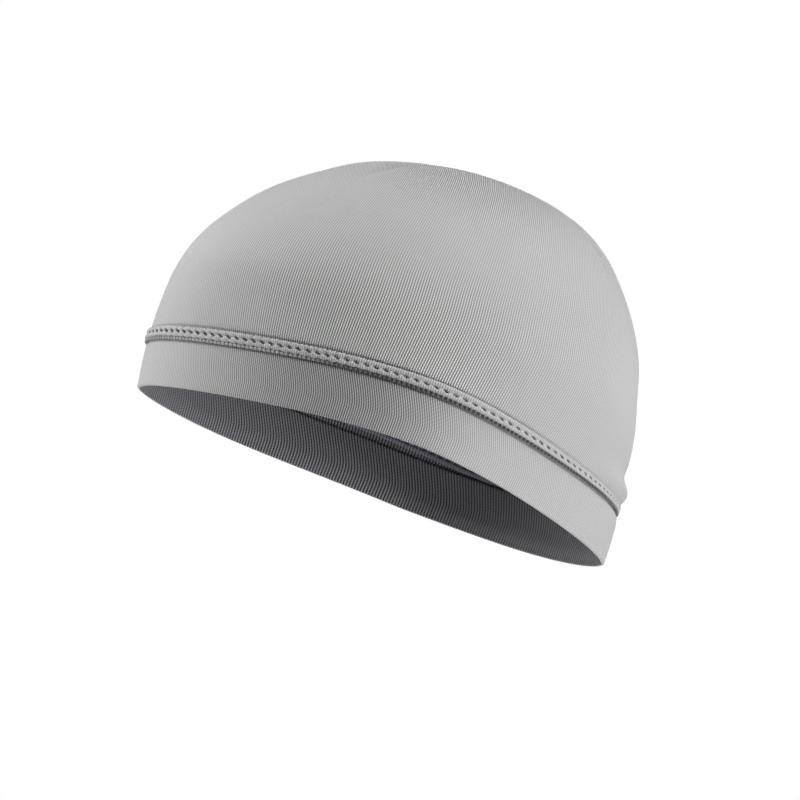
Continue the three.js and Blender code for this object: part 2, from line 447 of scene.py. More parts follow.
def to_linear(srgb: str) -> tuple[float, float, float, float]:
    """Turns an sRGB hex colour into linear RGBA.

    Args:
        srgb: the colour, such as "#dedede".

    Returns:
        Red, green, blue and an alpha of 1.
    """
    values = [int(srgb[i : i + 2], 16) / 255 for i in (1, 3, 5)]
    linear = [v / 12.92 if v <= 0.04045 else ((v + 0.055) / 1.055) ** 2.4 for v in values]
    return (linear[0], linear[1], linear[2], 1.0)


def add_node(
    tree: bpy.types.NodeTree,
    kind: str,
    inputs: dict[str | int, Any] | None = None,
    **settings: Any,
) -> bpy.types.Node:
    """Adds a node with its settings, values and links.

    Args:
        tree: the node tree.
        kind: the node's type.
        inputs: a value or an output socket for each named or numbered input.
        **settings: the node's own properties.

    Returns:
        The new node.
    """
    node = tree.nodes.new(kind)
    for name, value in settings.items():
        setattr(node, name, value)
    for key, value in (inputs or {}).items():
        if isinstance(value, bpy.types.NodeSocket):
            tree.links.new(value, node.inputs[key])
        else:
            node.inputs[key].default_value = value
    return node


def blank_material(name: str) -> bpy.types.Material:
    """Makes a material with an empty node tree.

    Args:
        name: the material's name.

    Returns:
        The material.
    """
    material = bpy.data.materials.new(name)
    material.use_nodes = True
    material.node_tree.nodes.clear()
    return material


@dataclass(frozen=True)
class RibbedKnit:
    """Warp-knitted nylon and elastane jersey: fine upright wales, each a row of small loops.

    The yarn is smooth, so the crests take a soft sheen. The grooves between the wales are darker in colour:
    painted shade.
    Loops stand half a course higher on every second wale, which breaks the grooves into small beads.
    In a zone low on the sides the painted shade in the grooves is deepest and the ribs stand deepest, and
    painted_shade_dim can darken the whole zone with more painted shade; elsewhere they fade. The zone is
    shade_middle along the cap, full to shade_from either side and gone at shade_to, full below shade_low and
    gone above shade_high, and a little of it comes back on the dome.
    """

    name: str
    crest: str
    groove: str
    roughness: float
    sheen: float
    rib_depth: float
    loop_relief: float = 0.15
    # painted shade: how far the zone's whole colour is darkened
    painted_shade_dim: float = 0.0
    loop_tint: float = 0.3
    groove_end: float = 0.2
    crest_start: float = 0.8
    faint: float = 0.3
    # the place and reach of the zone where the painted shade in the grooves is deepest
    shade_middle: float = -17 * MM
    shade_from: float = 10 * MM
    shade_to: float = 74 * MM
    shade_low: float = 34 * MM
    shade_high: float = 80 * MM
    dome_from: float = 88 * MM
    dome_to: float = 112 * MM
    dome_share: float = 0.4
    mean_rib: float = 0.5
    loop_slant: float = 0.2
    row_offset: float = 0.5
    mottle: float = 0.03
    mottle_size: float = 3.0 * MM
    mottle_detail: float = 3.0
    mottle_roughness: float = 0.6
    mottle_from: float = 0.3
    mottle_to: float = 0.7
    ior: float = 1.53
    specular: float = 0.4
    sheen_roughness: float = 0.5

    def maths(self, tree: bpy.types.NodeTree, operation: str, *values: Any) -> bpy.types.NodeSocket:
        """Adds a maths node and gives its result."""
        return add_node(tree, "ShaderNodeMath", dict(enumerate(values)), operation=operation).outputs[0]

    def fall(
        self, tree: bpy.types.NodeTree, value: bpy.types.NodeSocket, start: float, end: float
    ) -> bpy.types.NodeSocket:
        """Adds a smooth fall from 1 at the start to 0 at the end."""
        inputs = {"Value": value, "From Min": start, "From Max": end, "To Min": 1.0, "To Max": 0.0}
        return add_node(tree, "ShaderNodeMapRange", inputs, interpolation_type="SMOOTHSTEP").outputs["Result"]

    def painted_shade_zone(self, tree: bpy.types.NodeTree, place: bpy.types.NodeSocket) -> bpy.types.NodeSocket:
        """Adds the zone of painted shade, where the grooves are painted darkest and the colour may be dimmed.

        Args:
            tree: the node tree.
            place: the point on the cap, in metres.

        Returns:
            A socket from 0, outside the zone, to 1, deepest painted shade.
        """
        axes = add_node(tree, "ShaderNodeSeparateXYZ", {"Vector": place}).outputs
        off = self.maths(tree, "SUBTRACT", axes["Y"], self.shade_middle)
        near = self.fall(tree, self.maths(tree, "ABSOLUTE", off), self.shade_from, self.shade_to)
        low = self.fall(tree, axes["Z"], self.shade_low, self.shade_high)
        below_dome = self.fall(tree, axes["Z"], self.dome_from, self.dome_to)
        dome = self.maths(tree, "SUBTRACT", 1.0, below_dome)
        share = self.maths(tree, "MULTIPLY_ADD", dome, self.dome_share, low)
        return self.maths(tree, "MULTIPLY", near, share)

    def make(self) -> bpy.types.Material:
        """Builds the material.

        Returns:
            The material, its pattern drawn from the mesh's counts of wales and courses.
        """
        material = blank_material(self.name)
        tree = material.node_tree
        wale = add_node(tree, "ShaderNodeAttribute", attribute_name="wale").outputs["Fac"]
        course = add_node(tree, "ShaderNodeAttribute", attribute_name="course").outputs["Fac"]
        place = add_node(tree, "ShaderNodeTexCoord").outputs["Object"]
        wave = self.maths(tree, "SINE", self.maths(tree, "MULTIPLY", wale, math.pi))
        rib = self.maths(tree, "ABSOLUTE", wave)
        square = self.maths(tree, "MULTIPLY", wave, wave)
        limits = {"Value": square, "From Min": self.groove_end, "From Max": self.crest_start}
        crest = add_node(tree, "ShaderNodeMapRange", limits).outputs["Result"]
        own = self.maths(tree, "FLOOR", wale)
        staggered = self.maths(tree, "MULTIPLY_ADD", own, self.row_offset, course)
        slanted = self.maths(tree, "MULTIPLY_ADD", rib, self.loop_slant, staggered)
        loop = self.maths(tree, "COSINE", self.maths(tree, "MULTIPLY", slanted, FULL_TURN))
        relief = self.maths(tree, "MULTIPLY_ADD", loop, self.loop_relief, rib)
        # painted shade: inside the zone the grooves are painted darker, the ribs stand deeper and the colour
        # is dimmed
        shade_share = self.painted_shade_zone(tree, place)
        spread = self.maths(tree, "MULTIPLY_ADD", shade_share, 1 - self.faint, self.faint)
        dim = self.maths(tree, "MULTIPLY_ADD", shade_share, -self.painted_shade_dim, 1.0)
        beaded = self.maths(tree, "MULTIPLY_ADD", loop, self.loop_tint / 2, crest)
        parted = self.maths(tree, "SUBTRACT", beaded, self.mean_rib)
        tone = self.maths(tree, "MULTIPLY_ADD", parted, spread, self.mean_rib)
        depth = self.maths(tree, "MULTIPLY", spread, self.rib_depth)
        grain = {"Vector": place, "Scale": 1 / self.mottle_size}
        grain |= {"Detail": self.mottle_detail, "Roughness": self.mottle_roughness}
        cloud = add_node(tree, "ShaderNodeTexNoise", grain).outputs["Fac"]
        limits = {"Value": cloud, "From Min": self.mottle_from, "From Max": self.mottle_to}
        limits |= {"To Min": 1 - self.mottle, "To Max": 1.0}
        shade = add_node(tree, "ShaderNodeMapRange", limits).outputs["Result"]
        # the groove colour is painted shade between the ribs
        ends = {"Factor": tone, "A": to_linear(self.groove), "B": to_linear(self.crest)}
        colour = add_node(tree, "ShaderNodeMix", ends, data_type="RGBA").outputs["Result"]
        shaded = {0: colour, "Scale": self.maths(tree, "MULTIPLY", shade, dim)}
        mixed = add_node(tree, "ShaderNodeVectorMath", shaded, operation="SCALE").outputs["Vector"]
        bump = add_node(tree, "ShaderNodeBump", {"Strength": 1.0, "Distance": depth, "Height": relief})
        surface = {
            "Base Color": mixed,
            "Roughness": self.roughness,
            "IOR": self.ior,
            "Specular IOR Level": self.specular,
            "Sheen Weight": self.sheen,
            "Sheen Roughness": self.sheen_roughness,
            "Normal": bump.outputs["Normal"],
        }
        shader = add_node(tree, "ShaderNodeBsdfPrincipled", surface)
        add_node(tree, "ShaderNodeOutputMaterial", {"Surface": shader.outputs["BSDF"]})
        return material


@dataclass(frozen=True)
class SewingThread:
    """Matt polyester sewing thread: a tight two-ply twist, dull and a little hairy.

    A real twist is about .6 mm, too fine for the picture, so ply_pitch draws it coarser. wave_radians
    is how far Blender's diagonal wave goes for each metre at a scale of one.
    """

    name: str
    colour: str
    roughness: float = 0.8
    ior: float = 1.58
    sheen: float = 0.1
    ply_pitch: float = 1.2 * MM
    ply_depth: float = 0.05 * MM
    wave_radians: float = 10.0

    def make(self) -> bpy.types.Material:
        """Builds the material.

        Returns:
            The material.
        """
        material = blank_material(self.name)
        tree = material.node_tree
        place = add_node(tree, "ShaderNodeTexCoord").outputs["Object"]
        scale = FULL_TURN / (self.ply_pitch * self.wave_radians)
        twist = {"Vector": place, "Scale": scale, "Distortion": 1.0}
        ply = add_node(tree, "ShaderNodeTexWave", twist, bands_direction="DIAGONAL").outputs["Fac"]
        relief = {"Strength": 1.0, "Distance": self.ply_depth, "Height": ply}
        bump = add_node(tree, "ShaderNodeBump", relief)
        surface = {
            "Base Color": to_linear(self.colour),
            "Roughness": self.roughness,
            "IOR": self.ior,
            "Sheen Weight": self.sheen,
            "Normal": bump.outputs["Normal"],
        }
        shader = add_node(tree, "ShaderNodeBsdfPrincipled", surface)
        add_node(tree, "ShaderNodeOutputMaterial", {"Surface": shader.outputs["BSDF"]})
        return material


@dataclass(frozen=True)
class Finishes:
    """All the finishes of the cap."""

    outer_knit: bpy.types.Material
    band_knit: bpy.types.Material
    inner_knit: bpy.types.Material
    seam_knit: bpy.types.Material
    shadow_edge_knit: bpy.types.Material
    inner_tape: bpy.types.Material
    thread: bpy.types.Material
    inner_thread: bpy.types.Material


def make_finishes() -> Finishes:
    """Builds the cap's materials.

    Returns:
        The finishes.
    """
    # pale grey and softly lustrous, with painted shade in the grooves between the ribs, deepest low on the
    # sides
    outer = RibbedKnit(
        name="ribbed_nylon_knit_outside",
        crest="#dedede",
        groove="#585858",
        roughness=0.6,
        sheen=0.15,
        rib_depth=0.25 * MM,
    )
    # the same cloth, with a patch of painted shade low on the sides
    band = replace(
        outer,
        name="ribbed_nylon_knit_band_painted_shade",
        painted_shade_dim=0.32,
        shade_middle=-26 * MM,
        shade_from=6 * MM,
        shade_to=66 * MM,
    )
    # the cloth's back: dull, a little bluish and ribbed all over, and much darker as painted shade of the
    # cap's inside
    inner = replace(
        outer,
        name="ribbed_nylon_knit_inside_painted_shade",
        crest="#9b9a9f",
        groove="#2c2b31",
        roughness=0.8,
        sheen=0.05,
        rib_depth=0.2 * MM,
        faint=0.6,
    )
    # the same cloth rolled over a filler: smoother, its ribs only just seen
    seam = replace(
        outer,
        name="ribbed_nylon_knit_seam",
        crest="#c8c8c8",
        groove="#8c8c8c",
        sheen=0.12,
        rib_depth=0.12 * MM,
    )
    # the dark cord below the lower roll: painted shadow under the seam, in coarse dark ticks that are darkest
    # from temple to nape
    edge = replace(
        outer,
        name="ribbed_nylon_knit_seam_painted_shadow",
        crest="#c4c4c4",
        groove="#5c5c5c",
        roughness=0.7,
        sheen=0.05,
        rib_depth=0.3 * MM,
        faint=0.6,
        painted_shade_dim=0.75,
        shade_middle=30 * MM,
        shade_from=50 * MM,
        shade_to=85 * MM,
    )
    # the seam's underside, a smoother strip that is paler and more violet than the cloth's back; darker than
    # the outside as painted shade of the cap's inside
    tape = replace(
        outer,
        name="ribbed_nylon_knit_seam_inside_painted_shade",
        crest="#a09ca8",
        groove="#6c6874",
        roughness=0.8,
        sheen=0.05,
        rib_depth=0.12 * MM,
    )
    return Finishes(
        outer_knit=outer.make(),
        band_knit=band.make(),
        inner_knit=inner.make(),
        seam_knit=seam.make(),
        shadow_edge_knit=edge.make(),
        inner_tape=tape.make(),
        # dull thread a shade paler than the cloth, and a dark one inside
        thread=SewingThread(name="polyester_thread_outside", colour="#d8d8d8").make(),
        inner_thread=SewingThread(name="polyester_thread_inside", colour="#3e3b45").make(),
    )


# Meshes


@dataclass
class Cloth:
    """A mesh in the making: points, quads and the knit's counts at each quad's corners.

    Quads that run into the top of the dome hold the same point twice.
    """

    points: np.ndarray
    quads: np.ndarray
    wale: np.ndarray
    course: np.ndarray
    face: np.ndarray

    @classmethod
    def plain(cls, points: np.ndarray, quads: np.ndarray, face: int = 0) -> "Cloth":
        """A mesh without a knit."""
        zeros = np.zeros(quads.shape)
        return cls(points, quads, zeros, zeros, np.full(len(quads), face))

    def joined(self, other: "Cloth") -> "Cloth":
        """Both meshes as one, without merging points."""
        return Cloth(
            points=np.vstack([self.points, other.points]),
            quads=np.vstack([self.quads, other.quads + len(self.points)]),
            wale=np.vstack([self.wale, other.wale]),
            course=np.vstack([self.course, other.course]),
            face=np.concatenate([self.face, other.face]),
        )


def ring_quads(columns: int, rows: int, closed_rows: bool) -> np.ndarray:
    """Quads of a grid that closes round the cap.

    Args:
        columns: points round the cap.
        rows: points along the section.
        closed_rows: whether the section closes on itself.

    Returns:
        Four point numbers for each quad, outward where the section runs up.
    """
    last = rows if closed_rows else rows - 1
    i, j = np.meshgrid(np.arange(columns), np.arange(last), indexing="ij")
    i, j = i.ravel(), j.ravel()
    right, above = (i + 1) % columns, (j + 1) % rows
    return np.stack([i * rows + j, right * rows + j, right * rows + above, i * rows + above], -1)


def round_thread(
    line: np.ndarray, ahead: np.ndarray, normal: np.ndarray, radius: np.ndarray | float, sides: int
) -> np.ndarray:
    """Points of a round thread.

    Args:
        line: points of its middle line.
        ahead: the way on at each point, of any length.
        normal: the cloth's outward normal at each point.
        radius: its radius in metres, at each point or everywhere.
        sides: points round it.

    Returns:
        Points in metres, those round the thread along a new axis before the last.
    """
    ahead = unit(ahead)
    aside = unit(np.cross(ahead, normal))
    lift = np.cross(aside, ahead)
    theta = (FULL_TURN * np.arange(sides) / sides)[:, None]
    circle = aside[..., None, :] * np.cos(theta) + lift[..., None, :] * np.sin(theta)
    return line[..., None, :] + np.asarray(radius)[..., None, None] * circle


def build_object(name: str, cloth: Cloth, materials: list[bpy.types.Material]) -> bpy.types.Object:
    """Makes a smooth mesh object with the knit's counts as attributes.

    Args:
        name: the piece's name.
        cloth: the mesh.
        materials: one for each value of the mesh's face numbers.

    Returns:
        The new object, linked to the scene.
    """
    mesh = bpy.data.meshes.new(name)
    mesh.from_pydata(cloth.points.tolist(), [], [tuple(dict.fromkeys(q)) for q in cloth.quads.tolist()])
    for material in materials:
        mesh.materials.append(material)
    mesh.polygons.foreach_set("material_index", cloth.face.astype(np.int32))
    mesh.polygons.foreach_set("use_smooth", np.ones(len(mesh.polygons), bool))
    kept = np.ones(cloth.quads.shape, bool)
    kept[:, 1:] = cloth.quads[:, 1:] != cloth.quads[:, :-1]
    for label, values in (("wale", cloth.wale), ("course", cloth.course)):
        attribute = mesh.attributes.new(label, "FLOAT", "CORNER")
        attribute.data.foreach_set("value", values[kept].astype(np.float32))
    mesh.update()
    piece = bpy.data.objects.new(name, mesh)
    bpy.context.scene.collection.objects.link(piece)
    return piece


def dress(piece: bpy.types.Object, slot: Slot, *nodes: str) -> bpy.types.Object:
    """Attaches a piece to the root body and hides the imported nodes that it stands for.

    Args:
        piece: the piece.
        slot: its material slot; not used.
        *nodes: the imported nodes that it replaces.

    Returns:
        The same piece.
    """
    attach(piece, "root")
    if nodes:
        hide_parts(*nodes)
    return piece


# Pieces


@dataclass
class SewnPart:
    """A sub-assembly of the cap, which lies on the cap's form and shares its wales and finishes."""

    form: CapForm
    wales: WaleField
    finishes: Finishes

    def ring(
        self,
        points: np.ndarray,
        angle: np.ndarray,
        ribs: np.ndarray,
        faces: np.ndarray | None = None,
        sway: np.ndarray | None = None,
    ) -> Cloth:
        """Closes a grid of points, a section swept round the cap, into a ring of knit.

        Args:
            points: columns by rows of points.
            angle: the angle of each column.
            ribs: for each row, how many ribs there are to one wale of the outer knit.
            faces: the face number of each row, or 0 for all.
            sway: for each point, how many wales the ribs stand aside of the column, or none.

        Returns:
            The closed ring, with an even count of ribs round it.
        """
        columns, rows = points.shape[:2]
        faces = np.zeros(rows, int) if faces is None else faces
        sway = np.zeros((columns, rows)) if sway is None else sway
        steps = np.linalg.norm(np.diff(points, axis=1, append=points[:, :1]), axis=-1)
        run = np.concatenate([np.zeros((columns, 1)), np.cumsum(steps, axis=1)], axis=1)
        quads = ring_quads(columns, rows, closed_rows=True)
        column, row = quads[:, 0] // rows, quads[:, 0] % rows
        places = np.append(self.form.seam_lengths(angle) / self.form.seam_length, 1.0)
        start, end = places[column], places[column + 1]
        count = 2 * np.round(self.form.seam_length / self.wales.pitch * ribs[row] / 2)
        level = np.stack([start, end, end, start], -1) * count[:, None]
        wale = level + sway.reshape(-1)[quads] * ribs[row][:, None]
        lower, upper = run[column, row], run[column, row + 1]
        course = np.stack([lower, lower, upper, upper], -1) / self.wales.course_pitch
        return Cloth(points.reshape(-1, 3), quads, wale, course, faces[row])


@dataclass
class Crown(SewnPart):
    """The domed knit of the cap, one layer from the seam to the top."""

    columns: int = 512
    hem_rows: int = 30
    hem_share: float = 0.066
    dome_rows: int = 96
    inner_rows: int = 36
    inner_wale_share: float = 0.7

    @property
    def outer_shares(self) -> np.ndarray:
        """Rows of the outer face as shares of the way from hem to top, close together by the seam."""
        hem = np.linspace(0, self.hem_share, self.hem_rows, endpoint=False)
        return np.concatenate([hem, np.linspace(self.hem_share, 1, self.dome_rows)])

    def wall(self, share: np.ndarray, side: Face) -> Cloth:
        """One face of the wall from hem to top.

        Args:
            share: its rows, from 0 at the hem to 1 at the top.
            side: which face of the cloth it is.

        Returns:
            The face, outward for the outside and inward for the inside.
        """
        rows = len(share)
        angle = np.arange(self.columns) * FULL_TURN / self.columns
        hem = self.form.rise_at(self.form.seam_height(angle))
        rise = hem[:, None] + (1 - hem[:, None]) * share[None, :]
        turn = np.broadcast_to(angle[:, None], rise.shape)
        sink = self.form.creased(turn, rise) if side is Face.OUTSIDE else self.form.knit
        points = self.form.cloth(turn, rise, sink)
        steps = np.linalg.norm(np.diff(points, axis=1), axis=-1)
        height = np.concatenate([np.zeros((self.columns, 1)), np.cumsum(steps, axis=1)], axis=1)
        quads = ring_quads(self.columns, rows, closed_rows=False)
        column = quads[:, 0] // rows
        panel = self.wales.panel_of((column + 0.5) * FULL_TURN / self.columns)
        corner_angle = angle[quads // rows]
        closing = quads[:, 1:3] // rows == 0
        corner_angle[:, 1:3] = np.where(closing, FULL_TURN, corner_angle[:, 1:3])
        corner_rise = rise.reshape(-1)[quads]
        wale = self.wales.count(corner_angle, corner_rise, np.broadcast_to(panel[:, None], quads.shape))
        course = height.reshape(-1)[quads] / self.wales.course_pitch
        if side is Face.INSIDE:
            wale = wale * self.inner_wale_share
            quads, wale, course = quads[:, ::-1], wale[:, ::-1], course[:, ::-1]
        quads = np.where(quads % rows == rows - 1, rows - 1, quads)
        return Cloth(points.reshape(-1, 3), quads, wale, course, np.full(len(quads), side.value))

    def build(self) -> list[bpy.types.Object]:
        """Makes the crown's piece: both faces of the wall and the hem that joins them.

        Returns:
            The piece, in a list.
        """
        outer = self.wall(self.outer_shares, Face.OUTSIDE)
        inner = self.wall(np.linspace(0, 1, self.inner_rows), Face.INSIDE)
        shell = outer.joined(inner)
        first = np.arange(self.columns)
        after = (first + 1) % self.columns
        outer_rows = len(self.outer_shares)
        base = len(outer.points)
        corners = [first * outer_rows, base + first * self.inner_rows]
        corners += [base + after * self.inner_rows, after * outer_rows]
        # the hem's corners are points of the shell, so they count back from its end
        hem = np.stack(corners, -1) - len(shell.points)
        shell = shell.joined(Cloth.plain(np.zeros((0, 3)), hem, Face.INSIDE.value))
        piece = build_object("crown_knit", shell, [self.finishes.outer_knit, self.finishes.inner_knit])
        return [dress(piece, Slot.KNIT, "crown")]


@dataclass
class Band(SewnPart):
    """The headband: a strip of the knit folded at the rim, two layers thick.

    The fold is pressed flatter than the two layers above it. Handling has pulled the wales aside: from
    a height on they lean towards the forehead going up, and below it a little towards the nape.
    """

    columns: int = 720
    low_rows: int = 20
    high_rows: int = 20
    high_share: float = 0.8
    inside_rows: int = 22
    fold_rows: int = 12
    fold_thickness: float = 1.2 * MM
    full_from: float = 6.0 * MM
    inner_wale_share: float = 0.7
    sway_from: float = 8.0 * MM
    sway_round: float = 2.0 * MM
    sway_above: float = 0.38
    sway_below: float = 0.14
    sway_spread: float = 2.5

    def depth(self, height: np.ndarray) -> np.ndarray:
        """How thick the band is at a height: pressed at the fold, both layers further up."""
        more = self.form.band_thickness - self.fold_thickness
        return self.fold_thickness + more * smooth(height / self.full_from)

    def sway(self, angle: np.ndarray, height: np.ndarray) -> np.ndarray:
        """How many wales the ribs stand aside.

        Args:
            angle: radians from the forehead.
            height: metres above the rim.

        Returns:
            The count, towards one end of the cap on the left side and mirrored on the right.
        """
        above = height - self.sway_from
        mean = (self.sway_above - self.sway_below) / 2
        spread = (self.sway_above + self.sway_below) / 2
        aside = mean * above + spread * np.sqrt(above**2 + self.sway_round**2)
        return aside / self.wales.pitch * np.tanh(self.sway_spread * np.sin(angle))

    def fold(self, angle: np.ndarray, low: np.ndarray) -> np.ndarray:
        """Points of the rounded fold at the rim, from the inner face round to the outer.

        Args:
            angle: radians from the forehead, for each column.
            low: how far up the skin the fold's middle lies, for each column.

        Returns:
            Columns by rows of points in metres.
        """
        form = self.form
        turn = np.pi * np.arange(1, self.fold_rows) / self.fold_rows
        rise = low[:, None] + 0 * turn
        half = self.depth(form.level_at(low)[..., 0] * form.height) / 2
        rolled = form.cloth(angle[:, None] + 0 * turn, rise, half[:, None] * (1 + np.cos(turn)))
        fall = unit(form.skin(angle, low) - form.skin(angle, np.zeros_like(low)))
        return rolled - fall[:, None, :] * (self.fold_thickness / 2 * np.sin(turn))[:, None]

    def build(self) -> list[bpy.types.Object]:
        """Makes the band's piece: up its outer face, down its inner face and round the fold.

        Returns:
            The piece, in a list.
        """
        form = self.form
        angle = form.seam_angles(self.columns)
        around = angle[:, None]
        top = form.rise_at(form.seam_height(angle))
        low = form.rise_at(np.full_like(angle, self.fold_thickness / 2))
        shares = np.linspace(0, self.high_share, self.low_rows, endpoint=False)
        shares = np.concatenate([shares, np.linspace(self.high_share, 1, self.high_rows)])
        up = low[:, None] + (top - low)[:, None] * shares[None, :]
        down = top[:, None] + (low - top)[:, None] * np.linspace(0, 1, self.inside_rows)[None, :]
        outside = form.cloth(around + 0 * up, up, form.creased(around, up))
        inner_height = form.level_at(down)[..., 0] * form.height
        inside = form.cloth(around + 0 * down, down, self.depth(inner_height))
        points = np.concatenate([outside, inside, self.fold(angle, low)], axis=1)
        rim = np.repeat(low[:, None], self.fold_rows - 1, axis=1)
        heights = form.level_at(np.concatenate([up, down, rim], axis=1))[..., 0] * form.height
        inner_start = up.shape[1] - 1
        inner_end = inner_start + self.inside_rows + self.fold_rows // 3
        faces = np.full(points.shape[1], Face.OUTSIDE.value)
        faces[inner_start:inner_end] = Face.INSIDE.value
        ribs = np.where(faces == Face.INSIDE.value, self.inner_wale_share, 1.0)
        ring = self.ring(points, angle, ribs, faces, self.sway(around, heights))
        piece = build_object("band_knit", ring, [self.finishes.band_knit, self.finishes.inner_knit])
        return [dress(piece, Slot.KNIT, "band")]


@dataclass(frozen=True)
class Roll:
    """One roll of the outer seam: where it lies, how big it is, and how the stitches pinch it.

    middle, half_height and crest are metres above the seam's middle and proud of the skin. groove is 1
    where the groove with the stitches runs above the roll and -1 where it runs below it. The stitches
    pinch that side, and twice as often a little the other side, by shares of the half height; at the
    forehead they pinch the other side by forehead_pinch more. nape_slim is the share of its height that
    the roll loses towards the nape. rib_depth is its ridges' height, and ribs their number to one wale.
    """

    name: str
    middle: float
    half_height: float
    crest: float
    groove: int
    pinch: float
    edge_pinch: float
    pinch_shift: float
    rib_depth: float
    ribs: float
    forehead_pinch: float = 0.0
    nape_slim: float = 0.0


@dataclass(frozen=True)
class StitchRow:
    """A row of stitches along the seam, each a short thread that dives at both ends.

    share is a stitch's length as a share of the pitch, lean how far it climbs from end to end, and
    shift how far along the first one's middle lies, as a share of the pitch. A stitch dives by dip and
    its section shrinks to end_taper, both nearer to its ends the higher dip_power and taper_power are.
    """

    above: float
    out: float
    lean: float
    share: float
    radius: float
    shift: float
    dip: float
    dip_power: int = 4
    taper_power: int = 8
    end_taper: float = 0.1
    points: int = 9
    sides: int = 8


@dataclass
class CoverSeam(SewnPart):
    """The raised seam between crown and band: rolls of folded knit with stitches in the groove between, and a
    dark cord below them that carries painted shadow.
    """

    stitch_pitch: float = 3.9 * MM
    step: float = 0.2 * MM
    section_points: int = 16
    sunk: float = 0.15 * MM
    pinch_width: float = 0.2
    bead: float = 0.22
    most_pinch: float = 0.6
    upper: Roll = Roll(
        name="upper_roll",
        middle=1.65 * MM,
        half_height=1.2 * MM,
        crest=1.35 * MM,
        groove=-1,
        pinch=0.4,
        edge_pinch=0.0,
        pinch_shift=0.1,
        rib_depth=0.02 * MM,
        ribs=1.0,
        forehead_pinch=0.4,
        nape_slim=0.4,
    )
    lower: Roll = Roll(
        name="lower_roll",
        middle=-0.65 * MM,
        half_height=1.1 * MM,
        crest=1.4 * MM,
        groove=1,
        pinch=0.45,
        edge_pinch=0.15,
        pinch_shift=-0.1,
        rib_depth=0.06 * MM,
        ribs=1.0,
    )
    # the edge roll: a dark cord of knit set where the shadow under the lower roll falls; its colour is
    # painted shadow
    edge: Roll = Roll(
        name="painted_shadow_roll",
        middle=-2.1 * MM,
        half_height=0.65 * MM,
        crest=1.0 * MM,
        groove=-1,
        pinch=0.0,
        edge_pinch=0.3,
        pinch_shift=0.0,
        rib_depth=0.4 * MM,
        ribs=0.5,
    )
    row: StitchRow = StitchRow(
        above=0.42 * MM,
        out=0.75 * MM,
        lean=-0.3 * MM,
        share=0.6,
        radius=0.3 * MM,
        shift=0.5,
        dip=0.6 * MM,
    )

    @property
    def stitches(self) -> int:
        """How many stitches go round."""
        return int(round(self.form.seam_length / self.stitch_pitch))

    def roll(self, roll: Roll, finish: bpy.types.Material) -> bpy.types.Object:
        """Makes one roll.

        Args:
            roll: its sizes.
            finish: its material.

        Returns:
            The roll's piece.
        """
        form = self.form
        columns = int(round(form.seam_length / self.step))
        angle = form.seam_angles(columns)
        run = np.arange(columns) / columns
        phase = run * self.stitches + roll.pinch_shift
        stitch = np.exp(-(((phase - np.round(phase)) / self.pinch_width) ** 2))
        half_stitch = np.exp(-(((2 * phase - np.round(2 * phase)) / (2 * self.pinch_width)) ** 2))
        ridges = np.round(form.seam_length / self.wales.pitch * roll.ribs)
        ridge = roll.rib_depth * (np.abs(np.sin(np.pi * run * ridges)) - 0.5)
        theta = FULL_TURN * np.arange(self.section_points) / self.section_points
        across, out = -np.cos(theta), np.sin(theta)
        forehead = form.forehead_share(angle)
        grooved = (roll.pinch * stitch)[:, None] * np.clip(roll.groove * across, 0, 1)
        far_pinch = (roll.edge_pinch + roll.forehead_pinch * forehead) * half_stitch
        edged = far_pinch[:, None] * np.clip(-roll.groove * across, 0, 1)
        beaded = (self.bead * forehead * stitch)[:, None]
        left = 1 - np.clip(grooved + edged + beaded, 0, self.most_pinch)
        tall = roll.half_height * (1 - roll.nape_slim * form.nape_share(angle))
        middle = roll.middle + roll.groove * (roll.half_height - tall)
        above = middle[:, None] + tall[:, None] * left * across
        half = (roll.crest + self.sunk) / 2
        proud = half - self.sunk + half * left * out + ridge[:, None] * np.clip(out, 0, None)
        points = form.at_seam(angle[:, None] + 0 * above, above, proud)
        ring = self.ring(points, angle, np.full(self.section_points, roll.ribs))
        return build_object("seam_" + roll.name, ring, [finish])

    def threads(self) -> bpy.types.Object:
        """Makes the row of stitches.

        Returns:
            The stitches as one piece.
        """
        form, row, count = self.form, self.row, self.stitches
        length, along, around = form.seam_length, row.points, row.sides
        share = np.linspace(-1, 1, along)
        start = (np.arange(count) + row.shift) * length / count
        run = (start[:, None] + share[None, :] * row.share * length / count / 2) % length
        angle = np.interp(run, form.seam_lengths(form.turns), form.turns)
        above = row.above + row.lean * share[None, :] + 0 * run
        out = row.out - row.dip * share[None, :] ** row.dip_power + 0 * run
        line = form.at_seam(angle, above, out)
        radius = row.radius * np.sqrt(np.clip(1 - share**row.taper_power, row.end_taper, 1))
        normal = form.normal(angle, form.rise_at(form.seam_height(angle)))
        tube = round_thread(line, np.gradient(line, axis=1), normal, radius, around)
        i, j, k = np.meshgrid(np.arange(count), np.arange(along - 1), np.arange(around), indexing="ij")
        base = (i * along + j) * around
        after = (k + 1) % around
        corners = [base + k, base + after, base + around + after, base + around + k]
        faces = [np.stack(corners, -1).reshape(-1, 4)]
        for end, order in ((0, -1), (along - 1, 1)):
            loop = (np.arange(count) * along + end) * around
            for m in range(around // 2 - 1):
                quad = [loop + m, loop + m + 1, loop + around - 2 - m, loop + around - 1 - m]
                faces.append(np.stack(quad, -1)[:, ::order])
        cloth = Cloth.plain(tube.reshape(-1, 3), np.vstack(faces))
        return build_object("seam_stitches", cloth, [self.finishes.thread])

    def build(self) -> list[bpy.types.Object]:
        """Makes the rolls and the stitches.

        Returns:
            The four pieces.
        """
        return [
            dress(self.roll(self.upper, self.finishes.seam_knit), Slot.SEAM, "cover_seam"),
            dress(self.roll(self.lower, self.finishes.seam_knit), Slot.SEAM),
            # the dark edge roll, coloured with painted shadow under the seam
            dress(self.roll(self.edge, self.finishes.shadow_edge_knit), Slot.SEAM),
            dress(self.threads(), Slot.THREAD),
        ]


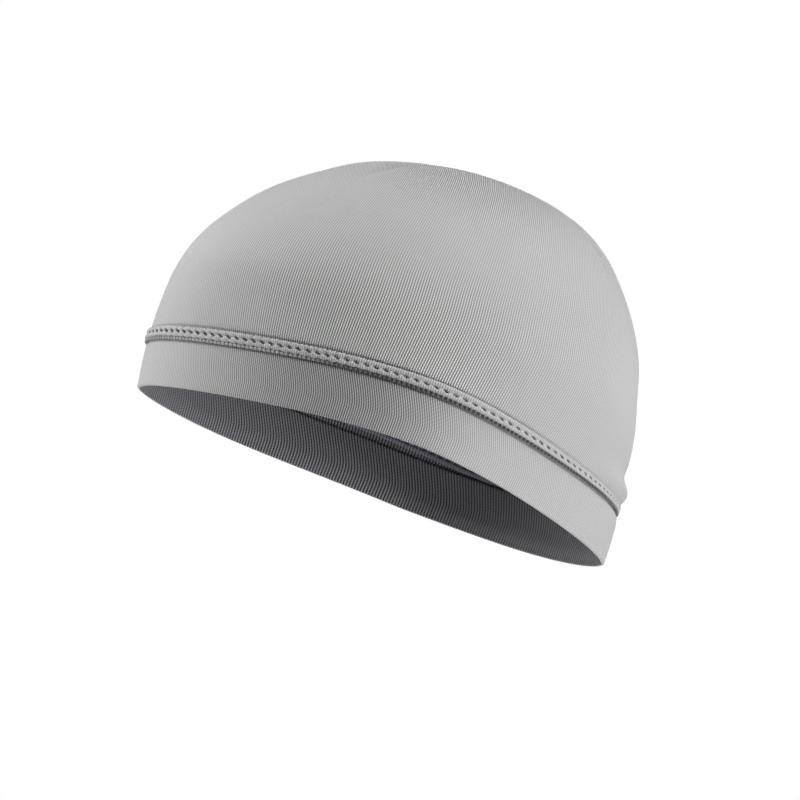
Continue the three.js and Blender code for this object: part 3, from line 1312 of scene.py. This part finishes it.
@dataclass
class InnerSeam(SewnPart):
    """The seam's flat underside: a strip of knit, turned up against the crown and held by looper threads.

    Its lower edge stands low above the seam's middle, and climbs by climb further towards the front.
    Its section is rolled at both edges: rim_across are places across it, rim_share its thickness there.
    """

    height: float = 7.0 * MM
    low: float = 0.7 * MM
    climb: float = 2.4 * MM
    climb_at: float = -0.2
    climb_spread: float = 0.25
    line_above: float = 1.7 * MM
    line_gap: float = 2.6 * MM
    thickness: float = 0.7 * MM
    clear: float = 0.1 * MM
    step: float = 0.5 * MM
    stitch_pitch: float = 3.9 * MM
    thread_radius: float = 0.2 * MM
    thread_points: int = 8
    thread_sides: int = 6
    hop_rise: float = 0.9
    hop_dive: float = 2.4
    hop_width: float = 0.12
    bed: float = 0.85
    ribs: float = 0.7
    rim_across: tuple[float, ...] = (0.0, 0.02, 0.06, 0.15, 0.3, 0.5, 0.7, 0.85, 0.94, 0.98, 1.0)
    rim_share: tuple[float, ...] = (0.25, 0.6, 0.9, 1.0, 0.85, 0.8, 0.85, 1.0, 0.9, 0.6, 0.25)

    def edge(self, angle: np.ndarray) -> np.ndarray:
        """Height of the strip's lower edge above the seam's middle, in metres."""
        forward = (np.cos(angle) - self.climb_at) / self.climb_spread
        return self.low + self.climb * (1 + np.tanh(forward)) / 2

    def depth_at(self, above: np.ndarray) -> np.ndarray:
        """Depth of the strip's hidden face, which slopes over from the band to the thinner crown.

        Args:
            above: metres above the seam's middle.

        Returns:
            Depths under the skin in metres.
        """
        share = np.clip(above / self.low, 0, 1)
        band, knit = self.form.band_thickness, self.form.knit
        return band + self.clear - share * (band - knit)

    def strip(self) -> bpy.types.Object:
        """Makes the strip.

        Returns:
            The strip's piece.
        """
        form = self.form
        angle = form.seam_angles(int(round(form.seam_length / self.step)))
        across, share = np.array(self.rim_across), np.array(self.rim_share)
        heights = self.edge(angle)[:, None] + self.height * across[None, :]
        inner = self.depth_at(heights) + self.thickness * share[None, :]
        above = np.concatenate([heights[:, ::-1], heights], axis=1)
        depth = np.concatenate([inner[:, ::-1], self.depth_at(heights)], axis=1)
        points = form.at_seam(angle[:, None] + 0 * above, above, -depth)
        ring = self.ring(points, angle, np.full(above.shape[1], self.ribs))
        return build_object("inner_seam_strip", ring, [self.finishes.inner_tape])

    def thread(self, name: str, above: np.ndarray, lift: np.ndarray, angle: np.ndarray) -> bpy.types.Object:
        """Makes a closed thread round the cap that lies on the strip.

        Args:
            name: the piece's name.
            above: metres above the seam's middle, for each point.
            lift: metres of the thread's middle off the strip, for each point.
            angle: radians from the forehead, for each point.

        Returns:
            The thread's piece.
        """
        form = self.form
        depth = self.depth_at(above) + self.thickness * self.bed + lift
        line = form.at_seam(angle, above, -depth)
        ahead = np.roll(line, -1, axis=0) - np.roll(line, 1, axis=0)
        normal = form.normal(angle, form.rise_at(form.seam_height(angle)))
        tube = round_thread(line, ahead, normal, self.thread_radius, self.thread_sides)
        quads = ring_quads(len(angle), self.thread_sides, closed_rows=True)[:, ::-1]
        return build_object(name, Cloth.plain(tube.reshape(-1, 3), quads), [self.finishes.inner_thread])

    def build(self) -> list[bpy.types.Object]:
        """Makes the strip, its two needle lines and the looper thread between them.

        Returns:
            The four pieces.
        """
        stitches = int(round(self.form.seam_length / self.stitch_pitch))
        columns = stitches * self.thread_points
        angle = self.form.seam_angles(columns)
        phase = np.arange(columns) * stitches / columns
        dive = np.exp(-(((phase - np.round(phase)) / self.hop_width) ** 2))
        hop = self.thread_radius * (self.hop_rise - self.hop_dive * dive)
        lower = self.edge(angle) + self.line_above
        zigzag = lower + self.line_gap * 2 * np.abs(phase % 1 - 0.5)
        flat = np.full(columns, self.thread_radius / 2)
        return [
            dress(self.strip(), Slot.SEAM, "inner_seam"),
            dress(self.thread("inner_needle_line_lower", lower, hop, angle), Slot.THREAD),
            dress(self.thread("inner_needle_line_upper", lower + self.line_gap, hop, angle), Slot.THREAD),
            dress(self.thread("inner_looper_thread", zigzag, flat, angle), Slot.THREAD),
        ]


# Studio


def back_from(azimuth: float, elevation: float) -> Vector:
    """The way from the cap to something that looks at it; azimuth 0 is in front of the forehead."""
    a, e = math.radians(azimuth), math.radians(elevation)
    return Vector((math.sin(a) * math.cos(e), -math.cos(a) * math.cos(e), math.sin(e)))


@dataclass(frozen=True)
class PhotoCamera:
    """The photograph's camera: square to the cap's left side, a little from below, and rolled.

    pixel is a picture pixel's size at the cap, and opening_px where the head opening's middle stands
    in the picture.
    """

    azimuth: float = 90.0
    elevation: float = -11.15
    roll: float = 20.9
    distance: float = 1250 * MM
    pixel: float = 0.39 * MM
    picture: int = 800
    sensor: float = 36.0
    opening_px: tuple[float, float] = (370.5, 477.0)
    nearest: float = 0.05
    furthest: float = 50.0

    def build(self) -> bpy.types.Object:
        """Makes the camera and takes it as the scene's.

        Returns:
            The camera.
        """
        turn, roll = math.radians(self.azimuth), math.radians(self.roll)
        back = back_from(self.azimuth, self.elevation)
        right = Vector((math.cos(turn), math.sin(turn), 0.0))
        up = back.cross(right)
        across = right * math.cos(roll) + up * math.sin(roll)
        upright = up * math.cos(roll) - right * math.sin(roll)
        shift_x, shift_y = ((px - self.picture / 2) * self.pixel for px in self.opening_px)
        data = bpy.data.cameras.new("photo_camera")
        data.sensor_width = self.sensor
        data.lens = self.distance / self.pixel * self.sensor / self.picture
        data.clip_start = self.nearest
        data.clip_end = self.furthest
        camera = bpy.data.objects.new("photo_camera", data)
        place = Matrix((across, upright, back)).transposed().to_4x4()
        place.translation = upright * shift_y - across * shift_x + back * self.distance
        camera.matrix_world = place
        bpy.context.scene.collection.objects.link(camera)
        bpy.context.scene.camera = camera
        return camera


@dataclass(frozen=True)
class SoftBox:
    """A square soft lamp that looks at the cap's middle."""

    name: str
    azimuth: float
    elevation: float
    watts: float
    distance: float = 1.6
    width: float = 0.6

    def build(self, target: Vector) -> bpy.types.Object:
        """Makes the lamp.

        Args:
            target: the point that it looks at.

        Returns:
            The lamp.
        """
        back = back_from(self.azimuth, self.elevation)
        data = bpy.data.lights.new(self.name, "AREA")
        data.shape = "SQUARE"
        data.size = self.width
        data.energy = self.watts
        lamp = bpy.data.objects.new(self.name, data)
        lamp.rotation_euler = back.to_track_quat("Z", "Y").to_euler()
        lamp.location = target + back * self.distance
        lamp.visible_camera = False
        bpy.context.scene.collection.objects.link(lamp)
        return lamp


@dataclass
class Studio:
    """A pale floor, a white surround and soft lamps.

    Floor and surround are evenly pale to look at. As light, the surround gives none and the floor only
    what the lamps send it, so that the lamps alone shape the cap, as in the photograph.
    """

    target: Vector = field(default_factory=lambda: Vector((0.0, 0.0, 0.06)))
    floor_level: float = -1.3
    floor_size: float = 40.0
    paper: str = "#e6e6e6"
    paper_roughness: float = 0.9
    surround: float = 0.0
    lamps: tuple[SoftBox, ...] = (
        SoftBox("soft_box_nape_side", azimuth=160, elevation=-5, watts=21.7),
        SoftBox("soft_box_far_side", azimuth=265, elevation=0, watts=14.0),
        SoftBox("soft_box_side_top", azimuth=90, elevation=70, watts=11.6),
        SoftBox("soft_box_temple_high", azimuth=60, elevation=45, watts=11.4),
        SoftBox("soft_box_forehead", azimuth=-20, elevation=-5, watts=10.2),
        SoftBox("soft_box_forehead_low", azimuth=-30, elevation=-30, watts=7.3),
        SoftBox("soft_box_forehead_high", azimuth=-20, elevation=20, watts=6.6),
        SoftBox("soft_box_side_low", azimuth=120, elevation=-30, watts=5.1),
        SoftBox("soft_box_temple", azimuth=40, elevation=20, watts=4.9),
        SoftBox("soft_box_nape", azimuth=220, elevation=20, watts=4.6),
    )

    def floor(self) -> None:
        """Makes the floor, of matt paper."""
        half, level = self.floor_size / 2, self.floor_level
        mesh = bpy.data.meshes.new("studio_floor")
        corners = [(x * half, y * half, level) for x, y in ((-1, -1), (1, -1), (1, 1), (-1, 1))]
        mesh.from_pydata(corners, [], [(0, 1, 2, 3)])
        material = blank_material("pale_studio_paper")
        tree = material.node_tree
        colour = to_linear(self.paper)
        path = add_node(tree, "ShaderNodeLightPath")
        matt = {"Base Color": colour, "Roughness": self.paper_roughness}
        paper = add_node(tree, "ShaderNodeBsdfPrincipled", matt)
        seen = add_node(tree, "ShaderNodeEmission", {"Color": colour})
        shaders = {0: path.outputs["Is Camera Ray"], 1: paper.outputs["BSDF"], 2: seen.outputs["Emission"]}
        mixed = add_node(tree, "ShaderNodeMixShader", shaders)
        add_node(tree, "ShaderNodeOutputMaterial", {"Surface": mixed.outputs["Shader"]})
        mesh.materials.append(material)
        floor = bpy.data.objects.new("studio_floor", mesh)
        bpy.context.scene.collection.objects.link(floor)

    def world(self) -> None:
        """Makes the surround: white to look at, dark as a light."""
        world = bpy.data.worlds.new("studio_surround")
        world.use_nodes = True
        tree = world.node_tree
        tree.nodes.clear()
        path = add_node(tree, "ShaderNodeLightPath")
        limits = {"Value": path.outputs["Is Camera Ray"], "To Min": self.surround, "To Max": 1.0}
        strength = add_node(tree, "ShaderNodeMapRange", limits).outputs["Result"]
        glow = add_node(tree, "ShaderNodeBackground", {"Color": to_linear("#ffffff"), "Strength": strength})
        add_node(tree, "ShaderNodeOutputWorld", {"Surface": glow.outputs["Background"]})
        bpy.context.scene.world = world

    def build(self) -> None:
        """Makes floor, surround, lamps and camera."""
        self.floor()
        self.world()
        for lamp in self.lamps:
            lamp.build(self.target)
        PhotoCamera().build()
        bpy.context.scene.view_settings.view_transform = "Standard"


def main() -> None:
    """Builds the pieces in order, then the studio."""
    logging.basicConfig(level=logging.INFO, format="%(name)s: %(message)s")
    form = CapForm()
    wales = WaleField(form)
    finishes = make_finishes()
    for part in (Crown, Band, CoverSeam, InnerSeam):
        for piece in part(form, wales, finishes).build():
            LOG.info("%s: %d faces", piece.name, len(piece.data.polygons))
    Studio().build()


if __name__ == "__main__":
    main()
